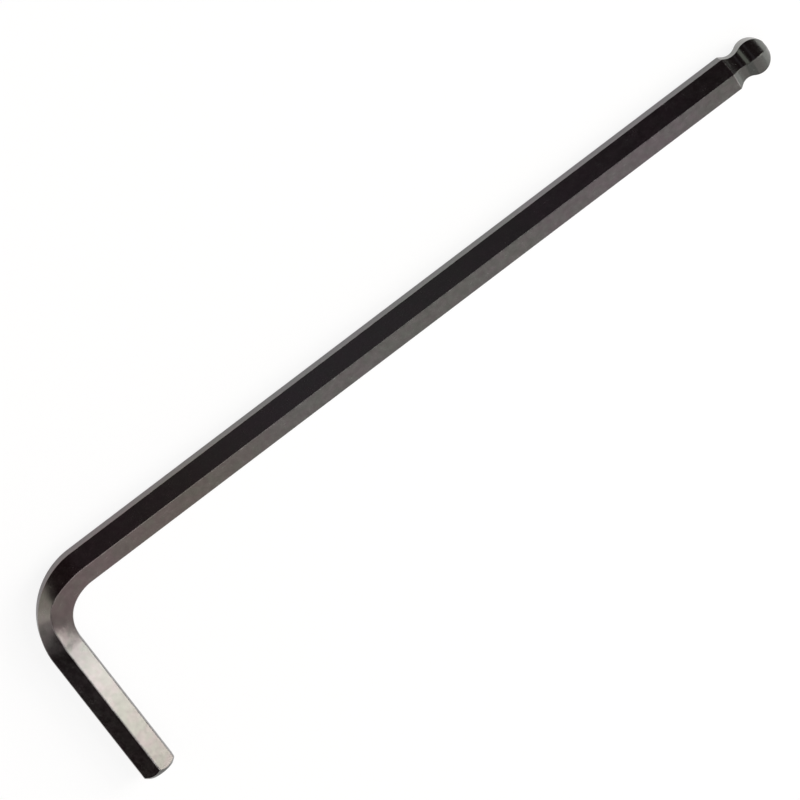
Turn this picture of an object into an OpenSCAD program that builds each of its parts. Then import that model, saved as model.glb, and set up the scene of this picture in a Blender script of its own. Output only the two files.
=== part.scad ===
// Hex key with a ball end: one hexagonal steel bar, bent once to a right angle.
// It lies flat, the long arm along X towards the ball, the short arm towards -Y.
// The bar's corners point up and down, and its flats face the inside and the
// outside of the bend. The origin is at floor level under the middle of the key.

/* [Bar] */
// Width across the flats
af = 6; // [3:0.5:12]
// How much the six long corners are taken down from sharp
corner_trim = 0.05; // [0.02:0.01:0.15]

/* [Arms] */
// Long arm, from the outer flat of the short arm to the tip of the ball
long_arm = 153; // [80:1:300]
// Short arm, from the outer flat of the long arm to its end face
short_arm = 38.6; // [28:0.2:80]
// Bend radius along the middle of the bar
bend_r = 10; // [7:0.5:16]

/* [Ball end] */
// How much narrower than the bar the ball is, so that it swivels in a socket
ball_slack = 0.05; // [0.02:0.01:0.2]
// Depth of the neck below each flat
neck_depth = 0.75; // [0.4:0.05:1.1]
// Radius of the hollow between the shoulder and the ball
neck_r = 2.62; // [2:0.02:4]
// Width of the small flat on the tip of the ball
tip_af = 2.1; // [1:0.1:2.6]

/* [Short end] */
// How far the turned, slightly domed chamfer cuts in from the corners
chamfer_in = 1; // [0.4:0.05:1.2]
// How far up the bar it runs at the corners
chamfer_up = 0.9; // [0.4:0.05:1.5]

/* [Hidden] */

// From the bar's axis to a sharp corner of the section, and to the trimmed one
sharp_h = af / sqrt(3);
corner_h = sharp_h - corner_trim;

// Neck and ball, seen from the side and measured from the shoulder
ball_r = (af - ball_slack) / 2;
neck_y = af / 2 - neck_depth + neck_r;
neck_x = sqrt(pow(neck_r, 2) - pow(neck_r - neck_depth, 2));
reach = sqrt(pow(neck_r + ball_r, 2) - pow(neck_y, 2));
blend_x = neck_x + reach * neck_r / (neck_r + ball_r);
ball_x = neck_x + reach;
tip_x = ball_x + sqrt(pow(ball_r, 2) - pow(tip_af / 2, 2));

// Lengths from the point where the axes of the two arms cross
tip_at = long_arm - af / 2;
shoulder_at = tip_at - tip_x;
end_at = short_arm - af / 2;

// Chamfer of the short end: a dome through the rim of the end face and the corners
end_r = corner_h - chamfer_in;
dome_z = (pow(chamfer_up, 2) + pow(corner_h, 2) - pow(end_r, 2)) / (2 * chamfer_up);
dome_r = sqrt(pow(dome_z, 2) + pow(end_r, 2));

// How far the cutting shapes run past the bar
spare = 0.5;

// Section of the bar, with flats to left and right and the corners trimmed round
module bar_section() {
    intersection() {
        rotate(30) circle(r = sharp_h, $fn = 6);
        circle(r = corner_h, $fn = 90);
    }
}

// A straight length of bar, upwards from the floor of its own frame
module straight_bar(length) {
    linear_extrude(height = length) bar_section();
}

// What the neck and the ball leave out on one pair of flats, seen from the side
module relief_profile() {
    for (side = [0, 1])
        mirror([0, side]) {
            translate([neck_x, neck_y]) circle(r = neck_r, $fn = 80);
            difference() {
                translate([blend_x, 0]) square([tip_x + spare - blend_x, af]);
                translate([ball_x, 0]) circle(r = ball_r, $fn = 80);
            }
        }
}

// The relief goes across the bar three times, once for each pair of flats
module ball_relief() {
    for (turn = [0, 60, 120])
        rotate([turn, 0, 0])
            translate([0, 0, -af])
                linear_extrude(height = 2 * af) relief_profile();
}

// Ring that turns the corners of the end face down to the dome
module chamfer_ring() {
    rotate_extrude($fn = 120)
        difference() {
            translate([0, -spare]) square([corner_h + spare, chamfer_up + 2 * spare]);
            translate([0, dome_z]) circle(r = dome_r, $fn = 120);
        }
}

// Long arm, from the bend to the tip of the ball
module long_arm_bar() {
    difference() {
        translate([bend_r, 0, 0])
            rotate([90, 0, 90]) straight_bar(tip_at - bend_r);
        translate([shoulder_at, 0, 0]) ball_relief();
    }
}

// Quarter turn between the two arms
module bend() {
    translate([bend_r, -bend_r, 0])
        rotate([0, 0, 90])
            rotate_extrude(angle = 90, $fn = 120)
                translate([bend_r, 0]) bar_section();
}

// Short arm, from its end face back to the bend
module short_arm_bar() {
    translate([0, -end_at, 0])
        rotate([-90, 0, 0])
            difference() {
                straight_bar(end_at - bend_r);
                chamfer_ring();
            }
}

module hex_key() {
    color("#3a3a3d")
        translate([(af - long_arm) / 2, (short_arm - af) / 2, corner_h]) {
            long_arm_bar();
            bend();
            short_arm_bar();
        }
}

hex_key();
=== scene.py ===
import bpy
import numpy as np
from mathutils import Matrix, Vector


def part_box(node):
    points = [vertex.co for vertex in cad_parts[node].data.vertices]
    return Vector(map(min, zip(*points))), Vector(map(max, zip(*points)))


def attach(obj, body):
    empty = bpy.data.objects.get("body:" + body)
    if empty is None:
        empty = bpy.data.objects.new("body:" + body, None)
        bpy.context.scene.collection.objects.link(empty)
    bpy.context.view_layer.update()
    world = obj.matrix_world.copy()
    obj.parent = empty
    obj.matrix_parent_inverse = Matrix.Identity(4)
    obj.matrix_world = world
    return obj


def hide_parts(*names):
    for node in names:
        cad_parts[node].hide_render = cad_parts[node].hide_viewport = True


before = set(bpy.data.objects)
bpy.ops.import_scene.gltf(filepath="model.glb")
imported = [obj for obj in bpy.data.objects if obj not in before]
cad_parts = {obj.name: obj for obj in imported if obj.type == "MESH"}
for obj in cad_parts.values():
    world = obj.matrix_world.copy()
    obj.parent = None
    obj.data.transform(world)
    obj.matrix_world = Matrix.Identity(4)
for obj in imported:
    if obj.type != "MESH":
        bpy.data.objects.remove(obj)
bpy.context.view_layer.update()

mm = 0.001
cornerRatio = 2 / np.sqrt(3.0)    # across the corners over across the flats
up = np.array([0, 0, 1.0])


# The key: one rounded hexagon carried from the ball, along the arm and the bend, to the short end.

key = {    # mm
    "acrossFlats": 6.0,
    "bendRadius": 10.0,       # along the middle of the bar
    "ballSlack": 0.05,        # the ball is this much narrower than the bar
    "neckDepth": 0.75,
    "neckRadius": 2.5,        # on the ball's side, up to a short straight run
    "tipFlat": 2.1,
    "chamferIn": 1.0,
    "chamferUp": 0.9,
    "cutCorner": 0.09,        # rounding left on the corners of the neck and the ball
    "shoulderRound": 0.2,
    "wallSlope": 32.0,        # degrees, where the neck runs up to the shoulder
    "wallRadius": 2.25,       # and the hollow that leads to it
    "neckToBall": 2.75,       # from the narrowest place to the ball's middle
    "tipRound": 0.10,
    "rimRound": 0.08,         # both rims of the turned chamfer
    "ridgeShift": 1.05,       # bending pushed the top and bottom corners outward by this much
    "ridgeFrom": 1.0,         # it starts here, along the bend,
    "ridgePeak": 8.6,         # is strongest here
    "ridgeTo": 14.5,          # and ends here
    "ridgeSoft": 0.17,        # rounding where the pushed part of the section begins
    "innerShift": 0.2,        # the inner flat gave way by this share of it
    "longArmWear": 0.35,      # corner wear on the long arm, against 1 on the short one
    "wearFrom": 9.0,          # it grows from here, along the bend,
    "wearFull": 16.0,         # to here
    "cutWear": 0.2,           # and this share of it is left on the cut surfaces
    "cutBlend": 0.15,         # the cut surface fades in over this length at the shoulder
    "endStart": 3.0,          # the mesh rows of the short end start this far from its face
    "innerRing": 0.12,        # smallest ring of an end face, as a share of the face
    "flatSteps": 6,           # mesh steps across a flat
    "cornerSteps": 8,         # mesh steps round a corner
}


# Points and outward normals on a circle: centre + radius * (cos a, sin a).
def circleArc(centre, radius, start, end, count):
    a = np.linspace(start, end, count)
    normal = np.stack([np.cos(a), np.sin(a)], 1)
    return np.array(centre) + radius * normal, normal


# Side view of one flat, from the middle of the tip to the shoulder: tip face, tip rounding,
# ball, a short straight run, the hollow neck, the straight neck wall and the shoulder rounding,
# each one tangent to the next. A round part's point is centre + radius * (cos a, sin a). Gives
# the place along the arm, the half width, the normal's two parts, and how much of an edge each
# point is.
def ballProfile(half, tipAt):
    ballR, neckR = half - key["ballSlack"] / 2, key["neckRadius"]
    ballX = tipAt - np.sqrt(ballR**2 - (key["tipFlat"] / 2)**2)
    floorH = half - key["neckDepth"]
    neckX, neckH = ballX - key["neckToBall"], floorH + neckR
    t, s = key["tipRound"], key["shoulderRound"]
    slope, wallR = np.radians(key["wallSlope"]), key["wallRadius"]
    lean = np.array([-np.sin(slope), -np.cos(slope)])           # from a centre to the wall
    tipC = np.array([tipAt - t, np.sqrt((ballR - t)**2 - (tipAt - t - ballX)**2)])
    wallC = np.array([neckX, floorH + wallR])
    wallEnd = wallC + wallR * lean
    run = (half - s - wallEnd[1] + s * np.cos(slope)) / np.sin(slope)
    shoulderC = wallEnd + run * np.array([-np.cos(slope), np.sin(slope)]) + s * lean
    tipEnd = np.arctan2(tipC[1], tipC[0] - ballX)
    apart = np.hypot(neckH, neckX - ballX)
    blend = np.arctan2(neckH, neckX - ballX) - np.arccos((ballR + neckR) / apart)
    away = np.array([np.cos(blend), np.sin(blend)])
    joint = np.linspace(0, 1, 8)[1:-1, None]
    joint = (1 - joint) * (ballR * away + [ballX, 0]) + joint * ([neckX, neckH] - neckR * away)
    face = np.linspace(key["innerRing"], 1, 5)[:-1, None] * [0, tipC[1]] + [tipAt, 0]
    neck, hollow = circleArc([neckX, neckH], neckR, blend - np.pi, -np.pi / 2, 24)
    lead, leadHollow = circleArc(wallC, wallR, -np.pi / 2, -np.pi / 2 - slope, 16)
    wall = np.linspace(0, 1, 6)[1:-1, None] * run * [-np.cos(slope), np.sin(slope)] + wallEnd
    parts = [
        (face, np.tile([1.0, 0.0], (4, 1)), 0.0),
        (*circleArc(tipC, t, 0, tipEnd, 7), 0.8),
        (*circleArc([ballX, 0], ballR, tipEnd, blend, 60), 0.0),
        (joint, np.tile(away, (6, 1)), 0.0),
        (neck, -hollow, 0.0),                     # a hollow's normal points at its centre
        (lead, -leadHollow, 0.0),
        (wall, np.tile(-lean, (4, 1)), 0.0),
        (*circleArc(shoulderC, s, np.pi / 2 - slope, np.pi / 2, 8), 1.0),
    ]
    rows = np.concatenate([np.hstack([p, n, np.full((len(p), 1), e)]) for p, n, e in parts])
    new = np.hypot(*np.diff(rows[:, :2], axis=0).T) > 1e-6
    return rows[np.r_[True, new]]


# Rounded hexagon for each half width h: corner centres at (h - radius) * 2/sqrt(3), a 60 degree
# arc round each, and straight flats between. Angle 0 is up, and the angles turn towards the
# outside of the bend. A surface whose half width has slope h' along the bar leans its normal by
# -h' on the flats, and by -h' * 2/sqrt(3) * cos on a corner: that factor is given too.
def hexSection(h, radius, roundSlope):
    nu = np.radians(np.linspace(-30, 30, key["cornerSteps"] + 1))
    centre = (h - radius) * cornerRatio
    share = np.linspace(0, 1, key["flatSteps"] + 1)[1:-1]

    def arcAt(w, turn):
        return np.stack([centre[:, None] * np.cos(w) + radius[:, None] * np.cos(w + turn),
                         centre[:, None] * np.sin(w) + radius[:, None] * np.sin(w + turn)], 2)

    points, normals, leans = [], [], []
    for k in range(6):
        a, b = np.radians(180 + 60 * k), np.radians(240 + 60 * k)     # the seam is under the bar
        here, there = arcAt(a, nu), arcAt(b, nu[:1])
        points += [here, here[:, -1:] + share[None, :, None] * (there - here[:, -1:])]
        angle = np.r_[a + nu, np.full(len(share), a + np.pi / 6)]
        normals.append(np.stack([np.cos(angle), np.sin(angle)], 1))
        corner = roundSlope[:, None] + (1 - roundSlope[:, None]) * cornerRatio * np.cos(nu)
        leans += [corner, np.ones((len(h), len(share)))]
    return np.concatenate(points, 1), np.concatenate(normals), np.concatenate(leans, 1)


# Middle line of the plain bar: straight, a quarter circle, straight. Gives the point in the
# plane of the arms, the direction back towards the tip, the outward direction, and how far
# round the bend it is, in mm of arc.
def barPath(endAt, shoulderAt):
    r = key["bendRadius"]
    x = shoulderAt - np.r_[0.06, 0.2, 0.6, 1.5, np.linspace(3, shoulderAt - r, 60)]
    a = np.linspace(0, np.pi / 2, 97)[1:]
    y = -np.linspace(r, endAt - key["endStart"], 16)[1:]
    point = np.concatenate([np.stack([x, 0 * x], 1),
                            np.stack([r - r * np.sin(a), r * np.cos(a) - r], 1),
                            np.stack([0 * y, y], 1)])
    turn = np.r_[0 * x, a, 0 * y + np.pi / 2]
    back = np.stack([np.cos(turn), np.sin(turn)], 1)
    outward = np.stack([-np.sin(turn), np.cos(turn)], 1)
    return point, back, outward, turn * r


# What bending did to the section: every point moves outward by shift * w, where w rises from
# 0 at the side corners to 1 at the top and bottom ones, and the inner side follows by a small
# share. Along the bend the shift is ridgeShift * sin(pi * t^p)^2, with t from 0 to 1 and the
# power p that puts the peak in its place. A normal goes through the inverse transpose of that
# move.
def bentSection(ring, normal, arcAt, cornerH):
    start, peak, end = key["ridgeFrom"], key["ridgePeak"], key["ridgeTo"]
    power = np.log(0.5) / np.log((peak - start) / (end - start))
    t = np.clip((arcAt - start) / (end - start), 1e-9, 1)
    turn, turnRate = np.pi * t**power, np.pi * power * t**(power - 1) / (end - start)
    shift = key["ridgeShift"] * np.sin(turn)**2
    slope = key["ridgeShift"] * np.sin(2 * turn) * turnRate
    z, o = ring[..., 0], ring[..., 1]
    soft, side = key["ridgeSoft"], cornerH / 2
    q = np.abs(z) - side
    w = np.where(q > soft, q, np.where(q < -soft, 0, (q + soft)**2 / (4 * soft))) / (cornerH - side)
    wz = np.sign(z) * np.clip((q + soft) / (2 * soft), 0, 1) / (cornerH - side)
    inner = key["innerShift"] * np.maximum(-o, 0) / (key["acrossFlats"] / 2)
    wo = -key["innerShift"] * (o < 0) / (key["acrossFlats"] / 2)
    lift = w + inner * (1 - w)
    moved = o + shift[:, None] * lift
    no = normal[:, 1] / (1 + shift[:, None] * wo * (1 - w))
    nz = normal[:, 0] - shift[:, None] * wz * (1 - inner) * no
    stretch = 1 + moved / key["bendRadius"]
    nt = -slope[:, None] * lift / stretch * no       # along the path, away from the tip
    return np.stack([z + 0 * moved, moved], 2), np.stack([nz, no, nt], 2)


# The turned chamfer of the short end: a sphere about the arm's axis, and each of its rims a
# small arc that touches it. Rows give each column's distance from the axis, its height above
# the end face, the normal's part away from the axis and part along it, how much of the normal
# is still the flat's own, and how much of an edge it is.
def endRows(reach, cornerH):
    endR, upBy, q = cornerH - key["chamferIn"], key["chamferUp"], key["rimRound"]
    start = key["endStart"]
    domeZ = (upBy**2 + cornerH**2 - endR**2) / (2 * upBy)
    domeR = np.hypot(domeZ, endR)
    creaseZ = domeZ - np.sqrt((domeR - q)**2 - (reach - q)**2)
    creaseA = np.arctan2(creaseZ - domeZ, reach - q)
    rimC = np.sqrt((domeR - q)**2 - (domeZ - q)**2)
    rimA = np.arctan2(q - domeZ, rimC)
    same, rows = np.ones_like(reach), []
    for w in np.linspace(0, 1, 8)[1:]:
        rows.append((reach, start + w * (creaseZ - start), same, 0 * same, 1.0, 0.0))
    for w in np.linspace(0, 1, 7)[1:]:
        a = w * creaseA
        rows.append((reach - q + q * np.cos(a), creaseZ + q * np.sin(a),
                     np.cos(a), np.sin(a), 1 - w, 1.0))
    for w in np.linspace(0, 1, 9)[1:]:
        a = creaseA + w * (rimA - creaseA)
        rows.append((domeR * np.cos(a), domeZ + domeR * np.sin(a), np.cos(a), np.sin(a), 0.0, 0.0))
    for w in np.linspace(0, 1, 7)[1:]:
        a = (rimA + w * (-np.pi / 2 - rimA)) * same
        rows.append((rimC + q * np.cos(a), q + q * np.sin(a), np.cos(a), np.sin(a), 0.0, 1.0))
    for w in (0.7, 0.4, key["innerRing"]):
        rows.append((w * rimC * same, 0 * same, 0 * same, -same, 0.0, 0.0))
    return rows


# Stacks the rings of the ball end, the bar and the short end, and closes both ends with a point.
def makeKey():
    low, high = (np.array(c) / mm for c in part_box("hex_key"))
    half = key["acrossFlats"] / 2
    cornerH = (high[2] - low[2]) / 2
    crossing = np.array([low[0] + half, high[1] - half, (low[2] + high[2]) / 2])
    tipAt, endAt = high[0] - crossing[0], crossing[1] - low[1]
    grow = 1 / (cornerRatio - 1)
    alongX, alongY = np.array([1.0, 0, 0]), np.array([0, 1.0, 0])

    def roundFor(h):                 # the rounding that keeps a corner at cornerH
        return (h * cornerRatio - cornerH) * grow

    def stand(q, outward):           # section parts (up, outward) to a vector in space
        return q[..., :1] * up + q[..., 1:2] * outward

    x, h, nx, nh, edge = ballProfile(half, tipAt).T
    free = roundFor(h) > key["cutCorner"]
    radius = np.where(free, roundFor(h), np.minimum(key["cutCorner"], h * 0.3))
    ring, ringN, lean = hexSection(h, radius, np.where(free, cornerRatio * grow, 0.0))
    ballP = x[:, None, None] * alongX + stand(ring, alongY)
    ballN = nh[:, None, None] * stand(ringN, alongY) + (nx[:, None] * lean)[..., None] * alongX
    ballEdge = edge

    path, back, outward, arcAt = barPath(endAt, x[-1])
    flat = np.array([half])
    plain, plainN, _ = hexSection(flat, roundFor(flat), np.zeros(1))
    ring, ringN = bentSection(plain, plainN, arcAt, cornerH)
    level = lambda v: np.hstack([v, np.zeros((len(v), 1))])[:, None, :]
    barP = level(path) + stand(ring, level(outward))
    barN = stand(ringN, level(outward)) - ringN[..., 2:] * level(back)

    down, side = -alongY, -alongX
    reach = np.hypot(*plain[0].T)
    spoke, face = stand(plain[0], side) / reach[:, None], stand(plainN, side)
    rows = endRows(reach, cornerH)
    endP = np.array([r[:, None] * spoke + (endAt - z)[:, None] * down for r, z, *_ in rows])
    endN = np.array([no[:, None] * (own * face + (1 - own) * spoke) - na[:, None] * down
                     for _, _, no, na, own, _ in rows])

    rings = np.concatenate([ballP, barP, endP])
    normals = np.concatenate([ballN, barN, endN])
    normals /= np.linalg.norm(normals, axis=2, keepdims=True)
    rowCount, colCount = rings.shape[:2]
    poles = np.array([[tipAt, 0, 0], [0, -endAt, 0]])
    points = (np.concatenate([rings.reshape(-1, 3), poles]) + crossing) * mm
    pointN = np.concatenate([normals.reshape(-1, 3), [alongX, down]])

    i = np.arange(rowCount * colCount).reshape(rowCount, colCount)
    beside = np.roll(i, -1, 1)
    quads = np.stack([i[:-1], beside[:-1], beside[1:], i[1:]], 2).reshape(-1, 4)
    first = np.stack([beside[0], i[0], np.full(colCount, i.size)], 1)
    last = np.stack([i[-1], beside[-1], np.full(colCount, i.size + 1)], 1)
    mesh = bpy.data.meshes.new("hexKeyBar")
    mesh.from_pydata(points, [], quads.tolist() + first.tolist() + last.tolist())
    mesh.update()

    # map in metres: along the middle line, and round the section from the seam underneath
    along = np.r_[0, np.cumsum(np.linalg.norm(np.diff(rings.mean(1), axis=0), axis=1))]
    around = np.r_[0, np.cumsum(np.linalg.norm(np.roll(plain[0], -1, 0) - plain[0], axis=1))]
    c = np.arange(colCount)
    quadCol = np.stack([c, c + 1, c + 1, c], 1)[None].repeat(rowCount - 1, 0).reshape(-1)
    quadRow = np.repeat(np.arange(rowCount - 1), colCount * 4)
    quadRow += np.tile([0, 0, 1, 1], (rowCount - 1) * colCount)
    capCol = np.r_[np.stack([c + 1, c, c], 1).ravel(), np.stack([c, c + 1, c], 1).ravel()]
    capRow = np.repeat([0, rowCount - 1], colCount * 3)
    uv = np.stack([along[np.r_[quadRow, capRow]], around[np.r_[quadCol, capCol]]], 1) * mm
    mesh.uv_layers.new(name="barMap").uv.foreach_set("vector", uv.astype(np.float32).ravel())

    # where the finish wears, and where a cutter or a lathe went over the drawn bar: wear on a
    # corner is cos^0.6 across it, times the wear along the bar
    across = np.cos(np.linspace(-1, 1, key["cornerSteps"] + 1) * np.pi / 2)**0.6
    across = np.tile(np.r_[across, np.zeros(key["flatSteps"] - 1)], 6)
    ownFlat, endEdge = (np.array([row[i] for row in rows]) for i in (4, 5))
    onBar = np.zeros(len(barP))
    rowEdge = np.r_[ballEdge, onBar, endEdge]
    cut = np.r_[np.clip((x - x[-1]) / key["cutBlend"], 0, 1), onBar, 1 - ownFlat]
    turned = np.r_[0 * x, onBar, ownFlat < 0.5]
    used = np.clip((arcAt - key["wearFrom"]) / (key["wearFull"] - key["wearFrom"]), 0, 1)
    used = key["longArmWear"] + (1 - key["longArmWear"]) * np.r_[0 * x, used, np.ones(len(rows))]
    used *= (1 - turned) * (1 - (1 - key["cutWear"]) * cut)
    wear = np.maximum(across[None] * used[:, None], rowEdge[:, None])
    for name, value in (("edgeWear", wear), ("cutZone", cut[:, None] + 0 * wear),
                        ("shortEnd", turned[:, None] + 0 * wear)):
        layer = mesh.attributes.new(name, "FLOAT", "POINT")
        value = np.r_[value.ravel(), value[0, 0], value[-1, 0]]
        layer.data.foreach_set("value", value.astype(np.float32))

    mesh.shade_smooth()
    mesh.normals_split_custom_set_from_vertices(pointN.tolist())
    piece = bpy.data.objects.new("hexKeyBar", mesh)
    bpy.context.scene.collection.objects.link(piece)
    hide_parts("hex_key")
    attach(piece, "root")
    print("key:", len(mesh.vertices), "points,", len(mesh.polygons), "faces")
    return piece


# Dark satin steel: an oxide skin with fine mottling, faint pink and green in it and broad
# patches of colour, warmer round the bend and towards the short end, and with painted shade
# where the bend ends that softens the start of the light face's highlight. Lines are drawn along
# the bar, what was cut or turned is darker, the turned short end further darkened as painted
# shade for the dim floor it reflects, and bare metal shows through along the edges. Zones are in
# metres along the bar from the tip.

steel = {
    "darkTone": (0.183, 0.176, 0.172, 1),
    "lightTone": (0.217, 0.211, 0.205, 1),
    "pinkTint": (1.035, 0.985, 0.99, 1),
    "greenTint": (0.982, 1.01, 0.965, 1),
    "cutTone": (0.165, 0.170, 0.161, 1),     # ball and neck
    "endShadedTone": (0.120, 0.122, 0.116, 1),     # turned chamfer and face of the short end, darker than the cut metal as painted shade for the dim floor it reflects
    "plumTint": (1.025, 0.972, 1.01, 1),      # broad patches of oxide colour
    "oliveTint": (0.968, 0.998, 0.95, 1),
    "patchScale": 45.0,
    "warmTint": (1.02, 0.965, 0.95, 1),
    "coolTint": (0.99, 1.03, 1.07, 1),
    "warmZone": (0.095, 0.118, 0.149, 0.157),       # starts, full, fades, ends
    "endZone": (0.152, 0.178),               # warmth grows again here
    "endWarmth": 0.6,                        # up to this share
    "shadeBandZone": (0.1548, 0.1557, 0.1568, 0.161),    # painted shade where the bend ends: starts, full, fades, ends
    "shadeBandTint": (0.76, 0.77, 0.76, 1),
    "wornTone": (0.42, 0.41, 0.40, 1),
    "skinGlance": (0.56, 0.55, 0.56, 1),     # how strongly the skin and the cut metal
    "cutGlance": (0.92, 0.91, 0.91, 1),      # reflect at a glancing angle
    "roughLow": 0.20,
    "roughHigh": 0.27,
    "mottleScale": 850.0,
    "tintScale": 520.0,
    "grainScale": 2400.0,
    "lineScale": (70.0, 4200.0, 1.0),
    "mottleSpan": (0.35, 0.65),              # noise levels for the two ends of a mix
    "tintSpan": (0.4, 0.6),
    "patchSpan": (0.38, 0.62),
    "roughSpan": (0.3, 0.7),
    "fleckSpan": (0.5, 1.2),                 # how unevenly the edges have worn
    "grainRough": 0.02,                      # the grain adds or takes this much roughness
    "wearStart": 0.25,                       # edge wear shows above this
    "wearAmount": 0.75,
    "bumpHeight": 0.0000017,
}


def addNode(tree, kind, place, inputs=None, **settings):
    node = tree.nodes.new(kind)
    node.location = place
    for name, value in settings.items():
        setattr(node, name, value)
    for name, value in (inputs or {}).items():
        node.inputs[name].default_value = value
    return node


def mixColours(tree, place, factor, a, b, blend="MIX"):
    node = addNode(tree, "ShaderNodeMix", place, data_type="RGBA", blend_type=blend)
    for socket, value in ((0, factor), (6, a), (7, b)):
        if isinstance(value, bpy.types.NodeSocket):
            tree.links.new(value, node.inputs[socket])
        else:
            node.inputs[socket].default_value = value
    return node.outputs[2]


def mapRange(tree, place, value, low, high, toLow=0.0, toHigh=1.0):
    node = addNode(tree, "ShaderNodeMapRange", place,
                   {"From Min": low, "From Max": high, "To Min": toLow, "To Max": toHigh})
    tree.links.new(value, node.inputs["Value"])
    return node.outputs["Result"]


def doMath(tree, place, how, a, b):
    node = addNode(tree, "ShaderNodeMath", place, operation=how)
    for socket, value in ((0, a), (1, b)):
        if isinstance(value, bpy.types.NodeSocket):
            tree.links.new(value, node.inputs[socket])
        else:
            node.inputs[socket].default_value = value
    return node.outputs[0]


def makeSteel():
    material = bpy.data.materials.new("darkSatinSteel")
    material.use_nodes = True
    tree = material.node_tree
    shader = tree.nodes["Principled BSDF"]
    shader.inputs["Metallic"].default_value = 1.0

    where = addNode(tree, "ShaderNodeTexCoord", (-2000, 200)).outputs["Object"]
    barMap = addNode(tree, "ShaderNodeUVMap", (-2000, -500), uv_map="barMap").outputs["UV"]

    def noise(place, scale, detail, rough=0.55, vector=where):
        node = addNode(tree, "ShaderNodeTexNoise", place,
                       {"Scale": scale, "Detail": detail, "Roughness": rough})
        tree.links.new(vector, node.inputs["Vector"])
        return node.outputs["Fac"]

    stretch = addNode(tree, "ShaderNodeMapping", (-1750, -500), {"Scale": steel["lineScale"]})
    tree.links.new(barMap, stretch.inputs["Vector"])
    mottle = noise((-1500, 500), steel["mottleScale"], 5.0, 0.6)
    tint = noise((-1500, 250), steel["tintScale"], 2.0)
    grain = noise((-1500, 0), steel["grainScale"], 3.0)
    lines = noise((-1500, -500), 1.0, 3.0, 0.6, stretch.outputs["Vector"])
    patch = noise((-1500, 1000), steel["patchScale"], 1.0)

    def attribute(place, name):
        return addNode(tree, "ShaderNodeAttribute", place, attribute_name=name).outputs["Fac"]

    edge, cut = attribute((-1500, -800), "edgeWear"), attribute((-1500, -1000), "cutZone")
    shortEnd = attribute((-1500, -1200), "shortEnd")
    split = addNode(tree, "ShaderNodeSeparateXYZ", (-1500, 800))
    tree.links.new(barMap, split.inputs[0])
    along = split.outputs["X"]

    # 0 to 1 between a zone's first two places, and back to 0 between the other two
    def between(place, zone):
        return doMath(tree, place, "MULTIPLY", mapRange(tree, place, along, zone[0], zone[1]),
                      mapRange(tree, place, along, zone[2], zone[3], 1.0, 0.0))

    # one tint where a noise is low, the other where it is high
    def twoTints(place, value, span, low, high):
        return mixColours(tree, place, mapRange(tree, (place[0] - 200, place[1]), value, *steel[span]),
                          steel[low], steel[high])

    skin = twoTints((-1000, 500), mottle, "mottleSpan", "darkTone", "lightTone")
    cast = twoTints((-1000, 250), tint, "tintSpan", "pinkTint", "greenTint")
    patches = twoTints((-800, 1000), patch, "patchSpan", "plumTint", "oliveTint")
    warm = doMath(tree, (-900, 900), "MAXIMUM", between((-1200, 900), steel["warmZone"]),
                  mapRange(tree, (-1200, 1200), along, *steel["endZone"], 0.0, steel["endWarmth"]))
    drift = mixColours(tree, (-800, 800), warm, steel["coolTint"], steel["warmTint"])
    # painted shade: a darker band where the bend ends, softening the start of the highlight on the
    # light face
    shadeBand = mixColours(tree, (-800, 1200), between((-1000, 1300), steel["shadeBandZone"]),
                      (1, 1, 1, 1), steel["shadeBandTint"])
    for step, layer in enumerate((cast, drift, patches, shadeBand)):
        skin = mixColours(tree, (-750 + 60 * step, 500), 1.0, skin, layer, "MULTIPLY")
    skin = mixColours(tree, (-500, 500), cut, skin, steel["cutTone"])
    # painted shade: the turned short end is darker than the cut metal, for the dim floor it reflects
    skin = mixColours(tree, (-450, 400), shortEnd, skin, steel["endShadedTone"])
    uneven = mapRange(tree, (-1200, -700), mottle, *steel["roughSpan"], *steel["fleckSpan"])
    fleck = doMath(tree, (-1000, -700), "MULTIPLY", edge, uneven)
    worn = mapRange(tree, (-800, -700), fleck, steel["wearStart"], 1.0, 0.0, steel["wearAmount"])
    skin = mixColours(tree, (-400, 500), worn, skin, steel["wornTone"])
    tree.links.new(skin, shader.inputs["Base Color"])

    glance = mixColours(tree, (-400, 150), cut, steel["skinGlance"], steel["cutGlance"])
    tree.links.new(glance, shader.inputs["Specular Tint"])

    rough = mapRange(tree, (-800, 0), mottle, *steel["roughSpan"],
                     steel["roughLow"], steel["roughHigh"])
    fine = mapRange(tree, (-800, -150), grain, *steel["roughSpan"],
                    -steel["grainRough"], steel["grainRough"])
    tree.links.new(doMath(tree, (-600, 0), "ADD", rough, fine), shader.inputs["Roughness"])

    uncut = doMath(tree, (-1200, -900), "SUBTRACT", 1.0, cut)
    drawn = doMath(tree, (-1000, -500), "MULTIPLY", lines, uncut)
    height = doMath(tree, (-800, -400), "ADD", grain, drawn)
    bump = addNode(tree, "ShaderNodeBump", (-400, -400),
                   {"Strength": 1.0, "Distance": steel["bumpHeight"]})
    tree.links.new(height, bump.inputs["Height"])
    tree.links.new(bump.outputs["Normal"], shader.inputs["Normal"])
    print("steel made")
    return material


# Floor, lights and camera.

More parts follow.
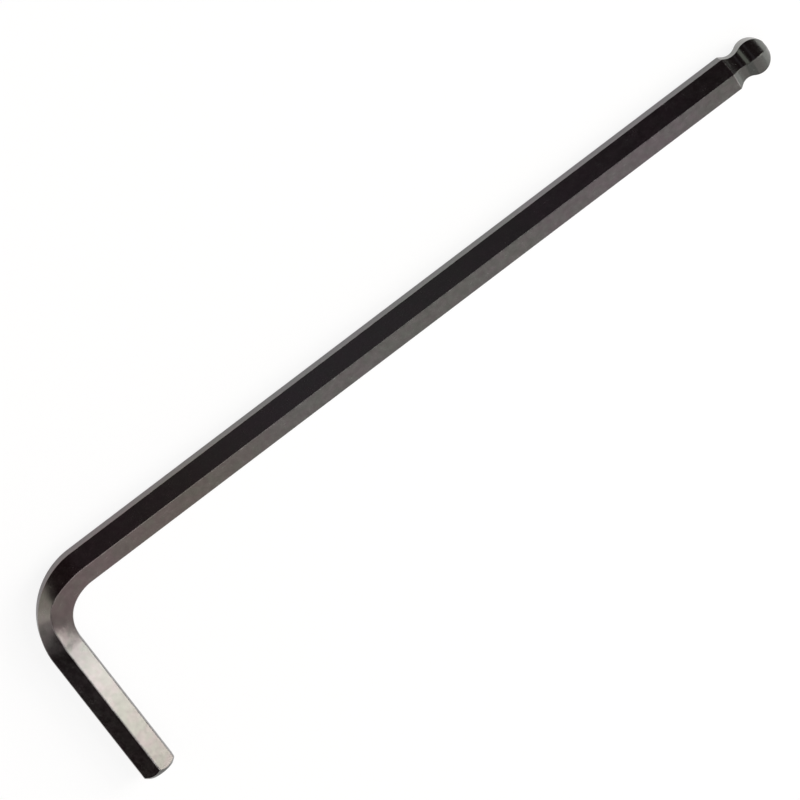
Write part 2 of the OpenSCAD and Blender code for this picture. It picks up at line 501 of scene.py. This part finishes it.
studio = {
    "floorSize": 8.0,
    "floorColour": (0.80, 0.80, 0.80, 1),
    "cameraShade": (0.18, 0.875),    # shading and plain glow that the camera sees of the floor,
    "metalShade": (0.50, 0.68),      # and that the metal sees
    "horizonColour": (0.60, 0.60, 0.585, 1),
    "roomColour": (0.028, 0.0155, 0.0185, 1),
    "openSide": (-0.6, -0.8, 0.0),   # the horizon is pale on this side, and dark opposite
    "sideSpan": (-0.6, 0.0),         # it turns pale between these, as a cosine to that side
    "horizonTop": 0.08,              # the pale band ends here, as a sine,
    "roomTop": 0.26,                 # and has faded out here
    "lamps": {    # direction, distance, width, height, brightness, colour
        "keySoftbox": ((0.838, -0.035, 0.545), 1.2, 0.56, 0.7, 4.65, (1, 0.98, 0.925)),
        "keySpill": ((0.828, -0.105, 0.545), 1.2, 0.78, 0.7, 1.35, (1, 0.98, 0.925)),
        "sideFill": ((0.33, -0.83, 0.45), 1.3, 1.6, 0.9, 0.56, (1, 0.925, 0.915)),
        "cornerFill": ((-0.803, 0.487, 0.345), 1.2, 0.64, 0.52, 0.79, (0.94, 1, 0.89)),
        "backGlow": ((0.012, 0.735, 0.677), 1.2, 0.17, 0.3, 0.155, (0.89, 0.87, 1)),
        "leftFill": ((-0.913, 0.194, 0.36), 1.2, 0.62, 0.55, 0.42, (1, 0.98, 0.98)),
        "topFill": ((0.45, -0.06, 0.89), 1.3, 0.5, 0.5, 4.0, (1, 0.99, 0.97)),
        "topSide": ((0.0, -0.56, 0.83), 1.3, 0.8, 0.6, 0.5, (1, 0.95, 0.94)),
        "lowSide": ((-0.27, -0.92, 0.28), 1.3, 0.35, 0.4, 0.28, (1, 1, 0.97)),
        "rearSoftbox": ((-0.269, -0.385, 0.883), 1.3, 0.5, 0.5, 2.0, (1, 0.99, 0.98)),
        "overhead": ((0.0, 0.04, 1.0), 1.3, 0.5, 0.45, 0.9, (1, 0.99, 0.98)),
        "highLeft": ((-0.553, 0.078, 0.829), 1.3, 0.5, 0.5, 1.1, (1, 0.99, 0.98)),
    },
}


def mixByRay(tree, place, rays, plain, shown):
    light = addNode(tree, "ShaderNodeLightPath", (place[0] - 300, 400))
    seen = light.outputs[rays[0]]
    for ray in rays[1:]:
        seen = doMath(tree, (place[0] - 150, 400), "MAXIMUM", seen, light.outputs[ray])
    pick = addNode(tree, "ShaderNodeMixShader", place)
    tree.links.new(seen, pick.inputs[0])
    tree.links.new(plain, pick.inputs[1])
    tree.links.new(shown, pick.inputs[2])
    return pick.outputs[0]


def makeFloor():
    s = studio["floorSize"] / 2
    mesh = bpy.data.meshes.new("floorSheet")
    mesh.from_pydata([(-s, -s, 0), (s, -s, 0), (s, s, 0), (-s, s, 0)], [], [(0, 1, 2, 3)])
    floor = bpy.data.objects.new("floorSheet", mesh)
    bpy.context.scene.collection.objects.link(floor)
    material = bpy.data.materials.new("paleFloor")
    material.use_nodes = True
    tree = material.node_tree
    tree.nodes.clear()
    out = addNode(tree, "ShaderNodeOutputMaterial", (1200, 0))
    matte = addNode(tree, "ShaderNodeBsdfDiffuse", (0, 0), {"Color": studio["floorColour"]}).outputs[0]

    def glowingFloor(place, share, strength):
        shade = addNode(tree, "ShaderNodeBsdfDiffuse", (0, place), {"Color": (share, share, share, 1)})
        glow = addNode(tree, "ShaderNodeEmission", (0, place - 150), {"Strength": strength})
        both = addNode(tree, "ShaderNodeAddShader", (250, place))
        tree.links.new(shade.outputs[0], both.inputs[0])
        tree.links.new(glow.outputs[0], both.inputs[1])
        return both.outputs[0]

    inMetal = mixByRay(tree, (500, 0), ("Is Glossy Ray", "Is Transmission Ray"),
                       matte, glowingFloor(-200, *studio["metalShade"]))
    shown = mixByRay(tree, (800, 0), ("Is Camera Ray",),
                     inMetal, glowingFloor(-600, *studio["cameraShade"]))
    tree.links.new(shown, out.inputs[0])
    mesh.materials.append(material)
    print("floor laid")


# A softbox looks at the key from a direction. Its power is brightness * pi * area, so that a
# brightness of 1 shows as white.
def addSoftbox(name, direction, distance, width, height, brightness, colour):
    light = bpy.data.lights.new(name, "AREA")
    light.shape = "RECTANGLE"
    light.size, light.size_y, light.color = width, height, colour
    light.energy = brightness * np.pi * width * height
    lamp = bpy.data.objects.new(name, light)
    toward = Vector(direction).normalized()
    lamp.location = toward * distance
    lamp.rotation_euler = toward.to_track_quat("Z", "Y").to_euler()
    lamp.visible_camera = False
    bpy.context.scene.collection.objects.link(lamp)


# The room: pale near the horizon and dark higher up, by the height of the direction.
def makeRoom():
    world = bpy.data.worlds.new("studioRoom")
    bpy.context.scene.world = world
    world.use_nodes = True
    tree = world.node_tree
    tree.nodes.clear()
    out = addNode(tree, "ShaderNodeOutputWorld", (700, 0))
    where = addNode(tree, "ShaderNodeTexCoord", (-1000, 0)).outputs["Generated"]
    split = addNode(tree, "ShaderNodeSeparateXYZ", (-800, 0))
    tree.links.new(where, split.inputs[0])
    side = addNode(tree, "ShaderNodeVectorMath", (-800, -200), operation="DOT_PRODUCT")
    tree.links.new(where, side.inputs[0])
    side.inputs[1].default_value = studio["openSide"]
    fade = mapRange(tree, (-600, 0), split.outputs["Z"],
                    studio["horizonTop"], studio["roomTop"], 1.0, 0.0)
    openness = mapRange(tree, (-600, -200), side.outputs["Value"], *studio["sideSpan"])
    pale = doMath(tree, (-400, 0), "MULTIPLY", fade, openness)
    room = addNode(tree, "ShaderNodeBackground", (0, 0))
    colour = mixColours(tree, (-200, 0), pale, studio["roomColour"], studio["horizonColour"])
    tree.links.new(colour, room.inputs["Color"])
    white = addNode(tree, "ShaderNodeBackground", (0, -200), {"Color": (1, 1, 1, 1), "Strength": 1.0})
    shown = mixByRay(tree, (400, 0), ("Is Camera Ray",), room.outputs[0], white.outputs[0])
    tree.links.new(shown, out.inputs[0])
    for name, lamp in studio["lamps"].items():
        addSoftbox(name, *lamp)
    print("studio lit by", len(studio["lamps"]), "lamps")


view = {
    "place": (-0.023623, 0.18133, 0.736051),
    "turn": (-0.174634, -0.159685, -0.632126),
    "lens": 207.824,
}


def addCamera():
    data = bpy.data.cameras.new("viewCamera")
    data.lens, data.sensor_width = view["lens"], 36
    data.clip_start, data.clip_end = 0.01, 50
    camera = bpy.data.objects.new("viewCamera", data)
    camera.location, camera.rotation_euler = view["place"], view["turn"]
    bpy.context.scene.collection.objects.link(camera)
    bpy.context.scene.camera = camera
    print("camera placed")


addCamera()
hexKeyBar = makeKey()
hexKeyBar.data.materials.append(makeSteel())
makeFloor()
makeRoom()
bpy.context.scene.view_settings.view_transform = "Standard"
print("ready")
